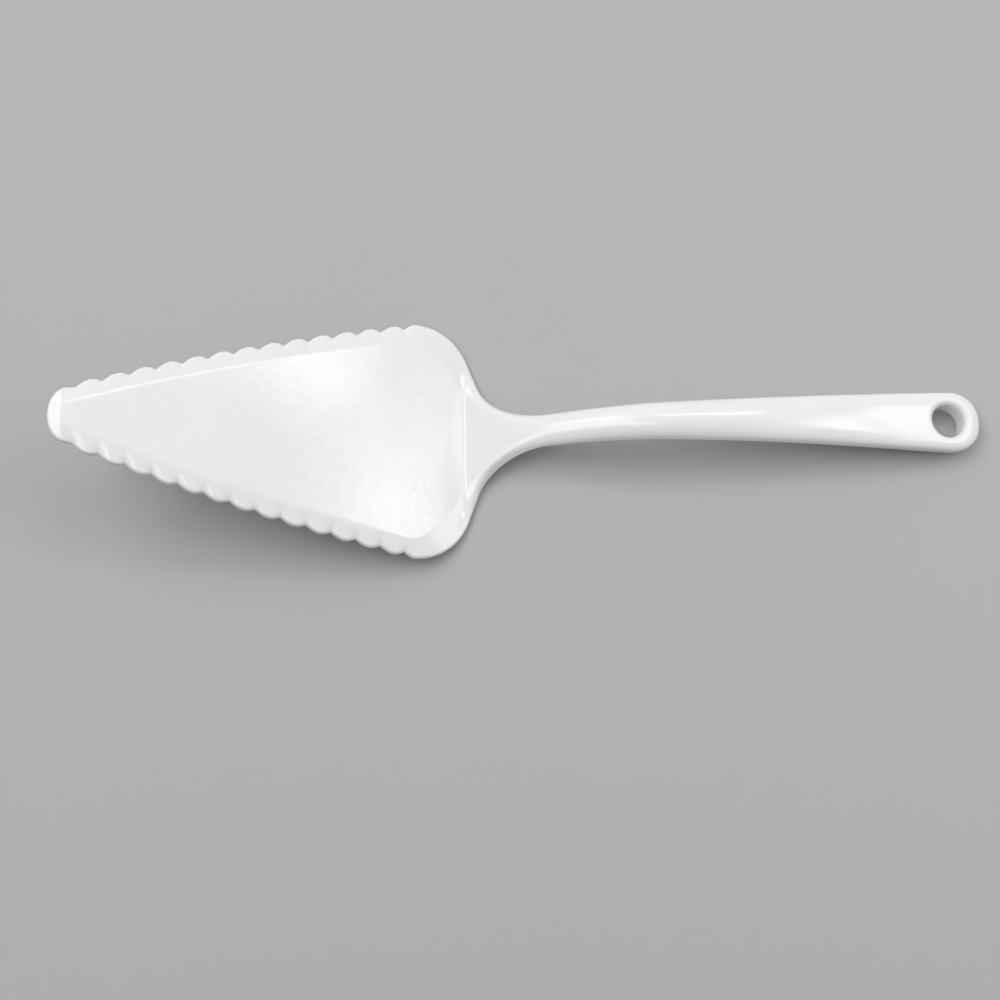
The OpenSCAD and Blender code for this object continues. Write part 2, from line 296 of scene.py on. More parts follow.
class Wire:
    """A socket in an expression: each operator adds a Math node to its tree"""
    # Leaves sums with numpy's numbers to the reflected operators below
    __array_ufunc__ = None

    def __init__(self, tree, socket):
        self.tree = tree
        self.socket = socket

    def __add__(self, other):
        return self.tree.maths("ADD", self, other)

    def __radd__(self, other):
        return self.tree.maths("ADD", other, self)

    def __sub__(self, other):
        return self.tree.maths("SUBTRACT", self, other)

    def __rsub__(self, other):
        return self.tree.maths("SUBTRACT", other, self)

    def __mul__(self, other):
        return self.tree.maths("MULTIPLY", self, other)

    def __rmul__(self, other):
        return self.tree.maths("MULTIPLY", other, self)

    def __truediv__(self, other):
        return self.tree.maths("DIVIDE", self, other)

    def __rtruediv__(self, other):
        return self.tree.maths("DIVIDE", other, self)


class Tree:
    """A node tree in which one method makes any node"""

    def __init__(self, nodes):
        self.nodes = nodes

    def add(self, kind, settings=None, sockets=None, out=0):
        """A node of a kind, with its settings and then its sockets' values or links"""
        node = self.nodes.nodes.new(kind)
        for name, value in (settings or {}).items():
            setattr(node, name, value)
        for key, value in (sockets or {}).items():
            if isinstance(value, Wire):
                self.nodes.links.new(value.socket, node.inputs[key])
            else:
                node.inputs[key].default_value = value
        return Wire(self, node.outputs[out]) if node.outputs else node

    def maths(self, operation, *values):
        """A Math node on wires and numbers"""
        return self.add("ShaderNodeMath", {"operation": operation}, dict(enumerate(values)))


def either(operation, function):
    """A function of numbers and arrays, or of wires, where it adds a Math node"""
    def apply(*values):
        for value in values:
            if isinstance(value, Wire):
                return value.tree.maths(operation, *values)
        return function(*values)
    return apply


least = either("MINIMUM", np.minimum)
most = either("MAXIMUM", np.maximum)
whole = either("FLOOR", np.floor)
extent = either("ABSOLUTE", np.abs)
sine = either("SINE", np.sin)
cosine = either("COSINE", np.cos)
arctan = either("ARCTANGENT", np.arctan)
root = either("SQRT", lambda v: np.sqrt(np.maximum(v, 0.0)))
power = either("POWER", lambda v, n: np.power(np.maximum(v, 0.0), n))
below = either("LESS_THAN", lambda v, limit: np.where(v < limit, 1.0, 0.0))


def mix(a, b, t):
    """The value a share t of the way from a to b"""
    return a + (b - a) * t


def clamp(t):
    """A value held between 0 and 1"""
    return least(1.0, most(0.0, t))


def ease(t):
    """A smooth step from 0 to 1"""
    t = clamp(t)
    return t * t * (3.0 - 2.0 * t)


def pick(test, a, b):
    """One value where a test is 1, and another where it is 0"""
    return mix(b, a, test)


# Shape rules

def row_shares(row):
    """How far a row of a section lies over the bevel, round the edge, down the wall, round the lower
    edge and back under the blade, each from 0 to 1"""
    bevel, *rest = [clamp((row - start) / count) for start, count in STRETCHES]
    return power(bevel, BEVEL_CROWD), *rest


class BladeRules:
    """The blade's outline and border, on numbers or on wires"""

    def __init__(self, sizes):
        self.__dict__.update(sizes)
        corner = self.crease_side - self.heel_half + self.heel_radius
        self.heel_peak = self.blade_length - root(self.heel_radius * self.heel_radius
                                                  - corner * corner)
        self.last_notch = self.heel_peak - self.heel_reach
        self.last_half = self.heel_half - self.notch_inset
        self.pitch = (self.last_notch - self.first_notch) / self.scallops

    def notch_half(self, number):
        """Half width at a notch"""
        t = number / self.scallops
        return mix(self.first_notch_half, self.last_half, t) + 4.0 * self.side_bow * t * (1.0 - t)

    def soft(self, distance, reach):
        """A distance from a notch, rounded off close to it"""
        rounded = (distance * distance + reach * reach) / (2.0 * reach)
        return pick(below(distance, reach), rounded, distance)

    def sides(self, u):
        """Half widths of the crease and outline, how far the section lies into a notch, and how
        much the outline's slant stretches it"""
        at = (u - self.first_notch) / self.pitch
        number = least(self.scallops - 1.0, whole(at))
        place = at - number
        line = mix(self.notch_half(number), self.notch_half(number + 1.0), place)
        near = self.soft(least(place, 1.0 - place) * self.pitch, self.notch_round) / self.pitch
        lobe = 4.0 * near * (1.0 - near)
        steep = 2.0 * self.scallop_depth * self.heel_reach / (self.pitch * self.notch_inset)
        past = self.soft(most(0.0, u - self.last_notch), self.notch_round * steep)
        to_peak = clamp(1.0 - past / self.heel_reach)
        around = most(0.0, u - self.heel_peak)
        corner = root(self.heel_radius * self.heel_radius - around * around)
        heel = corner - self.heel_radius + self.heel_half - self.notch_inset * to_peak * to_peak
        along = clamp((u - self.last_notch) / (self.blade_length - self.last_notch))
        bend = mix(self.last_half - self.bevel_width, self.foot_half, power(along, CREASE_POWER))
        row = below(u, self.last_notch)
        crease = pick(row, line - self.bevel_width, bend)
        outline = pick(row, line + self.scallop_depth * lobe, heel)
        low = power(pick(row, 1.0 - lobe, to_peak * to_peak), NOTCH_POWER)
        return crease, outline, low, self.heel_radius / corner

    def ring(self, k):
        """Inner and outer points of the border's section number k from the middle of the tip"""
        turn = clamp(k / TIP_STEPS) * QUARTER
        gap = power(clamp((k - TIP_STEPS) / GAP_STEPS), GAP_CROWD)
        step = most(0.0, k - TIP_STEPS - GAP_STEPS)
        heel = clamp(step / HEEL_STEPS - self.scallops * LOBE_STEPS / HEEL_STEPS)
        row = least(step, self.scallops * float(LOBE_STEPS))
        u = mix(self.first_notch + self.pitch * row / LOBE_STEPS, self.blade_length,
                heel * (2.0 - heel))
        crease, outline, low, slant = self.sides(u)
        inner = mix(self.tip_bevel, u, gap), mix(self.tip_flat_half * sine(turn), crease, gap)
        outer = (mix(self.tip_reach * (1.0 - cosine(turn)), u, gap),
                 mix(self.tip_half * sine(turn), outline, gap))
        return inner, outer, low * gap * gap, slant

    def fillet_rise(self, away, reach):
        """How far the rounding of the neck's crease lifts the surface at a distance from it"""
        lack = most(0.0, reach - away)
        return self.ramp_slope * lack * lack * lack / (6.0 * reach * reach)

    def bevel(self, width, drop, flute, slant):
        """Width of the rounded edge, slope of the bevel beside it, and width of the bevel"""
        edge = least(self.edge_round * slant, width / 2.0)
        lean = arctan((drop + FLUTE_POWER * flute) / (width - edge) * slant)
        return edge, lean, width - edge * (1.0 - sine(lean))

    def section(self, row, width, thick, drop, flute, slant, away, home=0.0):
        """Distance from the crease, and height, of a point of the border's section. The rows go
        from the crease over the bevel, edge, wall and lower edge, and back under the blade"""
        bevel, turn, wall, tuck, back = row_shares(row)
        tuck = tuck * QUARTER
        edge, lean, run = self.bevel(width, drop, flute, slant)
        lower = least(self.lower_round * slant, width / 3.0)
        out = run * bevel
        reach = self.crease_round * slant / run
        fall = pick(below(bevel, reach), (bevel + reach) * (bevel + reach) / (4.0 * reach), bevel)
        share = out / width
        lift = (1.0 - share) * self.fillet_rise(away, mix(self.foot_fillet, self.heel_fillet, share))
        angle = mix(lean, QUARTER, turn)
        x = (out + edge * (sine(angle) - sine(lean)) - lower * (1.0 - cosine(tuck))
             - (width - lower + home) * back)
        top = thick + lift - drop * fall - flute * power(bevel, FLUTE_POWER)
        rim = self.edge_round * cosine(lean)
        z = (top - rim + self.edge_round * cosine(angle)
             - (top - rim - self.lower_round) * wall - self.lower_round * sine(tuck))
        return x, z


def span(h0, m0, h1, m1, run, t):
    """Height and slope of a curve from h0 to h1 over a run, with a slope at each end"""
    height = (h0 * (1 + 2 * t) * (1 - t) ** 2 + m0 * run * t * (1 - t) ** 2
              + h1 * t * t * (3 - 2 * t) - m1 * run * t * t * (1 - t))
    steep = (6 * (h1 - h0) / run * t * (1 - t) + m0 * (1 - t) * (1 - 3 * t)
             + m1 * t * (3 * t - 2))
    return height, steep


class Moulding(BladeRules):
    """The whole moulding"""

    def __init__(self, sizes):
        super().__init__(sizes)
        self.ramp_slope = math.tan(self.ramp_angle)
        self.neck_end = self.blade_length + self.neck_run
        self.total = self.neck_end + self.handle_run
        self.end_centre = self.total - self.handle_half
        self.hole_at = self.total - self.hole_inset
        self.end_start = self.total - 2 * self.hole_inset
        bend = (self.heel_radius + self.neck_fillet) * (1 - math.cos(FLANK_ANGLE))
        straight = self.heel_half - self.neck_half - bend
        self.flank_start = self.heel_peak + self.heel_radius * math.sin(FLANK_ANGLE)
        self.flank_end = self.flank_start + straight / math.tan(FLANK_ANGLE)
        self.waist = self.flank_end + self.neck_fillet * math.sin(FLANK_ANGLE)
        u = np.linspace(self.end_start, self.total, END_PLACES)
        middle, half = self.side_view(u)
        fall = power(1 - power((u - self.end_centre) / self.handle_half, END_POWER), 1 / END_POWER)
        self.tilt = float(np.arctan2(middle - half * fall, u - self.blade_length).min())
        self.shift = 0.0
        hole = self.laid([self.hole_at, 0.0, self.side_view(np.array([self.hole_at]))[0][0]])
        self.shift = hole_mount()[0] - float(hole[0])

    def laid(self, points):
        """Points drawn with the blade level, as they lie at rest"""
        points = np.asarray(points, float)
        along = points[..., 0] - self.blade_length
        cos, sin = math.cos(self.tilt), math.sin(self.tilt)
        return np.stack([along * cos + points[..., 2] * sin + self.shift, points[..., 1],
                         points[..., 2] * cos - along * sin], -1)

    def half_width(self, u):
        """Half width of the outline of the neck and grip, and how much its slant stretches it"""
        cos, tan = math.cos(FLANK_ANGLE), math.tan(FLANK_ANGLE)
        arc = root(self.heel_radius ** 2 - (u - self.heel_peak) ** 2)
        curl = root(self.neck_fillet ** 2 - (self.waist - u) ** 2)
        spread = power(clamp((u - self.waist) / (self.end_centre - self.waist)), GRIP_POWER)
        places = [u < self.flank_start, u < self.flank_end, u < self.waist]
        half = np.select(places, [
            self.heel_half - self.heel_radius + arc,
            self.heel_half - self.heel_radius * (1 - cos) - (u - self.flank_start) * tan,
            self.neck_half + self.neck_fillet - curl,
        ], mix(self.neck_half, self.handle_half, spread))
        slant = np.select(places, [self.heel_radius / most(arc, WELD), 1 / cos,
                                   self.neck_fillet / most(curl, WELD)], 1.0)
        return half, slant

    def top(self, u):
        """Height and slope of the top of the neck and handle"""
        ramp, shoulder = self.ramp_slope, math.tan(self.shoulder_angle)
        high = self.blade_thick + self.neck_rise
        neck = span(self.blade_thick, ramp, high, shoulder, self.neck_run,
                    (u - self.blade_length) / self.neck_run)
        grip = span(high, shoulder, high + self.handle_rise, math.tan(self.end_angle),
                    self.handle_run, (u - self.neck_end) / self.handle_run)
        return tuple(np.where(u < self.neck_end, a, b) for a, b in zip(neck, grip))

    def side_view(self, u):
        """Height of the middle, and half the depth, of the neck and handle"""
        height, steep = self.top(u)
        thick = np.where(u < self.neck_end,
                         mix(self.blade_thick, self.shoulder_thick,
                             ease((u - self.blade_length) / self.neck_run)),
                         mix(self.shoulder_thick, self.handle_thick,
                             (u - self.neck_end) / self.handle_run))
        half = thick / 2 * mix(1, np.sqrt(1 + steep ** 2),
                               ease((u - self.blade_length) / FOOT_BLEND))
        return height - half, half

    def oval_power(self, u):
        """Fullness of the oval section"""
        return mix(NECK_OVAL, END_OVAL, ease((u - self.neck_end) / self.handle_run))

    def parting(self, u):
        """How far the parting line lies above the middle, as a share of half the depth"""
        return PARTING_SHARE * ease((u - self.neck_end) / self.handle_run)

    def inset(self, share, height):
        """How far the surface lies behind the parting line"""
        line = np.exp(-(height / self.parting_width) ** 2)
        return self.parting_lip * (1 - line) * share ** PARTING_POWER

    def half_sections(self, places):
        """Half sections of the neck and grip: distances from the middle, and heights"""
        u = np.asarray(places)[:, None]
        half, slant = self.half_width(u)
        middle, depth = self.side_view(u)
        under = middle - depth
        to_waist = clamp((u - self.blade_length) / (self.waist - self.blade_length))
        flat = mix(self.crest_half, self.foot_half, power(1 - to_waist, CREST_POWER))
        away = u - self.blade_length
        rim = mix(FOOT_EDGE_SHARE, 1 - self.bevel_drop / self.blade_thick,
                  np.exp(-away / self.rim_run))
        drop = 2 * depth * (1 - rim)
        share = np.sin(QUARTER * np.arange(FLAT_ROWS) / FLAT_ROWS)[None]
        reach = self.crease_round * slant
        lack = most(0.0, reach - flat * (1 - share))
        run = self.bevel(half - flat, drop, 0.0, slant)[2]
        level = (2 * depth + self.fillet_rise(away, self.foot_fillet)
                 - drop / run * lack ** 2 / (4 * reach))
        row = np.arange(BORDER_ROWS + 1.0)[None]
        x, z = self.section(row, half - flat, 2 * depth, drop, 0.0, slant, away, flat)
        sag = self.sag * away * np.exp(-(away / self.sag_run) ** 2)
        z = z - sag * clamp(x / (half - flat))
        y = np.concatenate([flat * share + 0 * u, flat + x], 1)
        z = np.concatenate([level, z], 1) + under
        round_y, round_z = self.oval(u, half, depth, share, row)
        turned = ease((to_waist - TURN_SHARE) / (1 - TURN_SHARE))
        return mix(y, round_y, turned), mix(z, middle + round_z, turned)

    def oval(self, u, half, depth, share, row):
        """Half of the oval section: its crown at shares of its width, then the rows of its border"""
        p = self.oval_power(u)
        bevel, turn, wall, tuck, back = row_shares(row)
        middle = (POLE_ANGLE - CROWN_ANGLES[0]) * power(share / CROWN_SHARES[0], p / 2)
        crown = np.where(share < CROWN_SHARES[0], POLE_ANGLE - middle,
                         np.interp(share, CROWN_SHARES, CROWN_ANGLES))
        shoulder = np.interp(bevel, np.linspace(0, 1, len(SHOULDER_ANGLES)), SHOULDER_ANGLES)
        belt = SHOULDER_ANGLES[-1] * power(1 - turn, BELT_CROWD)
        lower = -WALL_ANGLE * power(wall, BELT_CROWD) - TUCK_ANGLE * tuck
        under = (POLE_ANGLE - WALL_ANGLE - TUCK_ANGLE) * power(1 - back, p / 2) - POLE_ANGLE
        angle = np.where(row <= EDGE_START, shoulder, belt)
        angle = np.where(row > WALL_START, lower, angle)
        angle = np.where(row > UNDER_START, under, angle)
        angle = np.radians(np.concatenate([crown, angle + 0 * u], 1))
        wide = power(np.cos(angle), 2 / p)
        side = np.sign(angle)
        raised = self.parting(u)
        high = (side - raised) * power(np.abs(np.sin(angle)), 2 / p) * depth
        return wide * half - self.inset(wide, high), high + raised * depth

    def end_view(self, u, y, side=1.0):
        """Height of the parting line, and the depth of one side from it, at a point of the rounded
        end in plan, with the share of the way out to its outline"""
        middle, depth = self.side_view(u)
        raised = self.parting(u)
        half, _ = self.half_width(u)
        past = clamp((u - self.end_centre) / self.handle_half)
        share = power(past ** PLAN_POWER + power(np.abs(y) / half, PLAN_POWER), 1 / PLAN_POWER)
        full = mix(self.oval_power(u), END_POWER,
                   ease((u - self.end_start) / (self.end_centre - self.end_start)))
        fall = power(1 - power(share, full), 1 / full)
        return middle + raised * depth, (1 - side * raised) * depth * fall, share


def hole_mount():
    """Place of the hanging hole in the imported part, which fixes the moulding along X"""
    for mount in frame["record"]["mounts"]:
        if mount["name"] == "hanging_hole":
            return mount["pos_m"]
    raise RuntimeError("the packed part has no mount named hanging_hole")


# Meshes

def finished(piece, node, material):
    """Shades a piece, gives it its material and puts it in place of its CAD node"""
    mesh = piece.data
    mesh.materials.clear()
    mesh.materials.append(material)
    mesh.shade_smooth()
    mesh.set_sharp_from_angle(angle=SHARP)
    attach(piece, "root")
    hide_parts(node)


def solid(name, points, faces):
    """A closed mesh object, with double points merged and its faces outwards"""
    points = np.asarray(points)
    _, first, same = np.unique(np.round(points / WELD).astype(np.int64), axis=0,
                               return_index=True, return_inverse=True)
    kept = []
    for face in faces:
        corners = [int(same.ravel()[i]) for i in face]
        corners = [c for i, c in enumerate(corners) if c != corners[i - 1]]
        if len(set(corners)) > 2:
            kept.append(corners)
    mesh = bpy.data.meshes.new(name)
    mesh.from_pydata(points[first].tolist(), [], kept)
    if mesh.validate():
        raise RuntimeError(f"{name} has faulty faces")
    if volume(mesh) < 0:
        mesh.flip_normals()
    piece = bpy.data.objects.new(name, mesh)
    bpy.context.scene.collection.objects.link(piece)
    return piece


def volume(mesh):
    """Signed volume of a closed mesh"""
    mesh.calc_loop_triangles()
    corners = np.empty(len(mesh.loop_triangles) * 3, np.int32)
    mesh.loop_triangles.foreach_get("vertices", corners)
    places = np.empty(len(mesh.vertices) * 3, np.float32)
    mesh.vertices.foreach_get("co", places)
    a, b, c = places.reshape(-1, 3)[corners.reshape(-1, 3)].transpose(1, 0, 2).astype(float)
    return float((a * np.cross(b, c)).sum() / 6)


def band(rows, columns):
    """Quads of a grid of points, whose rows close into rings"""
    return [(i * columns + j, i * columns + (j + 1) % columns,
             (i + 1) * columns + (j + 1) % columns, (i + 1) * columns + j)
            for i in range(rows - 1) for j in range(columns)]


def lofted(name, rings):
    """A closed solid through rings of points, with a fan at each end"""
    rows, columns = rings.shape[:2]
    points = np.concatenate([rings.reshape(-1, 3), rings[0].mean(0)[None], rings[-1].mean(0)[None]])
    faces = band(rows, columns)
    last = (rows - 1) * columns
    for j in range(columns):
        k = (j + 1) % columns
        faces += [(k, j, rows * columns), (last + j, last + k, rows * columns + 1)]
    return solid(name, points, faces)


def plain_mesh(piece):
    """Turns a piece's nodes into a plain mesh and removes them"""
    shown = piece.evaluated_get(bpy.context.evaluated_depsgraph_get())
    piece.data = bpy.data.meshes.new_from_object(shown)
    piece.modifiers.clear()
    if volume(piece.data) < 0:
        piece.data.flip_normals()


# Finishes

def moulded_white(name, roughness, wear_and_glints):
    """White gloss moulding, faintly cloudy, orange-peeled; where used, worn, with painted scuff
    glints
    """
    finish = bpy.context.scene.server_finish
    material = bpy.data.materials.new(name)
    material.use_nodes = True
    material.node_tree.nodes.clear()
    tree = Tree(material.node_tree)
    place = tree.add("ShaderNodeTexCoord", out="Object")

    def noise(grain):
        vector = tree.add("ShaderNodeMapping", {}, {"Vector": place, "Scale": (grain.along, 1, 1)})
        return tree.add("ShaderNodeTexNoise", {"noise_dimensions": "3D"},
                        {"Vector": vector, "Scale": grain.scale, "Detail": grain.detail,
                         "Roughness": NOISE_ROUGHNESS})

    def spots(grain):
        return clamp((noise(grain) - grain.level) * grain.gain)

    def tinted(share, under, over):
        return tree.add("ShaderNodeMix", {"data_type": "RGBA"},
                        {MIX_FACTOR: share, MIX_UNDER: under, MIX_OVER: over}, MIX_RESULT)

    along = tree.add("ShaderNodeSeparateXYZ", {}, {"Vector": place}, "X")
    # Share of wear; it also sets where the painted scuff glints show
    used = wear_and_glints * clamp((WEAR_END - along) / WEAR_FADE)
    cloud = spots(CLOUDS)
    worn = spots(WORN)
    streaks = spots(STREAKS)
    # Painted glints: light flecks in the colour where scuffs would catch the light, fading in from
    # the tip
    scuff_glints = spots(RUBBED_GLINT_PATCHES) * spots(SCUFF_GLINT_GRAIN) * clamp((along - GLINT_START) / GLINT_FADE)
    tint = tinted(cloud, (*finish.white, 1), (*finish.haze, 1))
    # Paints the scuff glints over the white, on worn places only
    tint = tinted(scuff_glints * used, tint, (*finish.fleck, 1))
    relief = (noise(PEEL) * mix(CLEAN_PEEL, USED_PEEL, used)
              + used * (noise(BLOTCHES) * BLOTCH_HEIGHT
                        + worn * (spots(PITS) * PIT_HEIGHT + streaks * SCRATCH_HEIGHT)))
    bump = tree.add("ShaderNodeBump", {}, {"Strength": 1.0, "Height": relief, "Distance": 1.0})
    shine = roughness + streaks * worn * used * STREAK_DULLING + cloud * CLOUD_DULLING
    shader = tree.add("ShaderNodeBsdfPrincipled", {},
                      {"Base Color": tint, "Roughness": shine, "Normal": bump, "IOR": PLASTIC_IOR})
    tree.add("ShaderNodeOutputMaterial", {}, {"Surface": shader})
    return material


def finish_named(name):
    """One of the finishes, made once"""
    found = bpy.data.materials.get(name)
    if found:
        return found
    roughness, wear_and_glints = FINISHES[name]
    return moulded_white(name, getattr(bpy.context.scene.server_finish, roughness), wear_and_glints)


# Operators

class SERVER_OT_blade(bpy.types.Operator):
    """Makes the flat of the blade, out to its crease"""
    bl_idname = "server.blade"
    bl_label = "Serving Blade"

    def execute(self, context):
        rules = Moulding(shape_sizes())
        steps = GAP_STEPS + rules.scallops * LOBE_STEPS + HEEL_STEPS
        inner, outer, low, slant = rules.ring(TIP_STEPS + np.arange(steps + 1.0))
        u, half = inner[0][:, None], inner[1][:, None]
        width = np.hypot(outer[0] - inner[0], outer[1] - inner[1])[:, None]
        slant, low = slant[:, None], low[:, None]
        share = np.sin(np.linspace(-QUARTER, QUARTER, 2 * TIP_STEPS + 1))[None]
        y = half * share
        behind = u - rules.tip_bevel + 0 * y
        beside = half - np.abs(y)
        top = (rules.blade_thick + rules.fillet_rise(rules.blade_length - u, rules.foot_fillet)
               + self.waves(rules, u, y, np.minimum(behind, beside / slant))
               - most(self.fall(rules, behind, rules.tip_bevel, 0.0, 1.0),
                      self.fall(rules, beside, width, low, slant)))
        flat = np.stack([u + 0 * y, y, top], -1)
        under = np.stack([u + 0 * y, y, 0 * y], -1)
        rings = np.concatenate([flat, under[:, ::-1]], 1)
        rows, columns = rings.shape[:2]
        faces = band(rows, columns)
        for row in (0, (rows - 1) * columns):
            faces += [(row + j, row + j + 1, row + columns - 2 - j, row + columns - 1 - j)
                      for j in range(columns // 2 - 1)]
        piece = solid("serving_blade", rules.laid(rings.reshape(-1, 3)), faces)
        self.orient(piece.data)
        finished(piece, "blade_plate", finish_named("used_white"))
        return {"FINISHED"}

    @staticmethod
    def fall(rules, distance, width, low, slant):
        """How far the rounding of the crease lowers the flat beside it"""
        run = rules.bevel(width, rules.bevel_drop, rules.flute_depth * low, slant)[2]
        reach = rules.crease_round * slant
        lack = most(0.0, reach - distance)
        return rules.bevel_drop / run * lack ** 2 / (4 * reach)

    @staticmethod
    def waves(rules, u, y, inside):
        """Slow waves of the flat, which die out towards the crease"""
        calm = ease(np.minimum(inside, rules.blade_length - u) / WAVE_CALM)
        long, cross = u / WAVE_LENGTH, y / WAVE_WIDTH
        swell = sum(share * np.sin(2 * math.pi * (along * long + across * cross + phase))
                    for share, along, across, phase in WAVES)
        return rules.ripple * calm * swell

    @staticmethod
    def orient(mesh):
        """Turns the faces outwards, also those of the ends"""
        work = bmesh.new()
        work.from_mesh(mesh)
        bmesh.ops.recalc_face_normals(work, faces=work.faces)
        work.to_mesh(mesh)
        work.free()


class SERVER_OT_border(bpy.types.Operator):
    """Makes the bevelled border with its scallops, by a node tree that follows the rules"""
    bl_idname = "server.border"
    bl_label = "Scalloped Border"

    def execute(self, context):
        sizes = shape_sizes()
        rules = Moulding(sizes)
        used = [name for key in ("server_blade", "server_border")
                for name in GROUPS[key].__annotations__]
        values = {name: sizes[name] for name in used + ["foot_half", "foot_fillet", "heel_fillet"]}
        values.update(ramp_slope=rules.ramp_slope, tilt=rules.tilt, shift=rules.shift)
        material = finish_named("edge_white")
        group = self.tree(values, material)
        mesh = bpy.data.meshes.new("scalloped_border")
        piece = bpy.data.objects.new("scalloped_border", mesh)
        context.scene.collection.objects.link(piece)
        modifier = piece.modifiers.new("Border", "NODES")
        modifier.node_group = group
        for item in group.interface.items_tree:
            if item.in_out == "INPUT" and item.name in values:
                modifier[item.identifier] = values[item.name]
        plain_mesh(piece)
        finished(piece, "scalloped_edge", material)
        return {"FINISHED"}

    @staticmethod
    def tree(values, material):
        """The border's node tree: a grid of sections, bent around the blade by the rules"""
        group = bpy.data.node_groups.new("Scalloped Border", "GeometryNodeTree")
        group.interface.new_socket("Geometry", in_out="OUTPUT", socket_type="NodeSocketGeometry")
        for name, value in values.items():
            kind = "NodeSocketInt" if isinstance(value, int) else "NodeSocketFloat"
            group.interface.new_socket(name, in_out="INPUT", socket_type=kind)
        tree = Tree(group)
        inputs = group.nodes.new("NodeGroupInput")
        wires = {name: Wire(tree, inputs.outputs[name]) for name in values}
        rules = BladeRules(wires)
        half = TIP_STEPS + GAP_STEPS + HEEL_STEPS + wires["scallops"] * float(LOBE_STEPS)
        rings = 2.0 * half + 3.0
        columns = BORDER_ROWS + 2
        grid = tree.add("GeometryNodeMeshGrid", {}, {"Vertices X": rings, "Vertices Y": columns,
                                                     "Size X": 1.0, "Size Y": 1.0})
        index = tree.add("GeometryNodeInputIndex")
        at = whole((index + 0.5) / columns)
        row = index - at * float(columns)
        row = row * below(row, BORDER_ROWS + 0.5)
        from_tip = half + 1.0 - at
        side = pick(below(from_tip, 0.0), -1.0, 1.0)
        inner, outer, low, slant = rules.ring(least(extent(from_tip), half))
        across = outer[0] - inner[0], outer[1] - inner[1]
        width = root(across[0] * across[0] + across[1] * across[1])
        away = rules.blade_length - inner[0]
        x, z = rules.section(row, width, rules.blade_thick, rules.bevel_drop,
                             rules.flute_depth * low, slant, away)
        share = x / width
        end = below(half + 0.5, extent(from_tip))
        share = pick(end, 0.5, share)
        z = pick(end, rules.blade_thick / 2.0, z)
        along = inner[0] + across[0] * share - rules.blade_length
        level = tree.add("ShaderNodeCombineXYZ", {}, {
            0: along * cosine(rules.tilt) + z * sine(rules.tilt) + rules.shift,
            1: (inner[1] + across[1] * share) * side,
            2: z * cosine(rules.tilt) - along * sine(rules.tilt)})
        moved = tree.add("GeometryNodeSetPosition", {}, {"Geometry": grid, "Position": level})
        welded = tree.add("GeometryNodeMergeByDistance", {}, {"Geometry": moved, "Distance": WELD})
        made = tree.add("GeometryNodeRealizeInstances", {}, {"Geometry": welded})
        dressed = tree.add("GeometryNodeSetMaterial", {}, {"Geometry": made, "Material": material})
        tree.add("NodeGroupOutput", {}, {"Geometry": dressed})
        return group


class SERVER_OT_neck(bpy.types.Operator):
    """Makes the cranked neck and the grip that it runs into"""
    bl_idname = "server.neck"
    bl_label = "Neck and Grip"

    def execute(self, context):
        rules = Moulding(shape_sizes())
        neck = rules.blade_length + rules.neck_run * np.linspace(0, 1, NECK_STEPS + 1) ** NECK_SPREAD
        grip = np.linspace(rules.neck_end, rules.end_start, GRIP_STEPS + 1)
        for name, node, places in (("cranked_neck", "neck", neck), ("grip", "handle", grip)):
            y, z = rules.half_sections(places)
            u = places[:, None] + 0 * y
            one = np.stack([u, y, z], -1)
            other = np.stack([u, -y, z], -1)[:, -2:0:-1]
            piece = lofted(name, rules.laid(np.concatenate([one, other], 1)))
            finished(piece, node, finish_named("clean_white"))
        return {"FINISHED"}


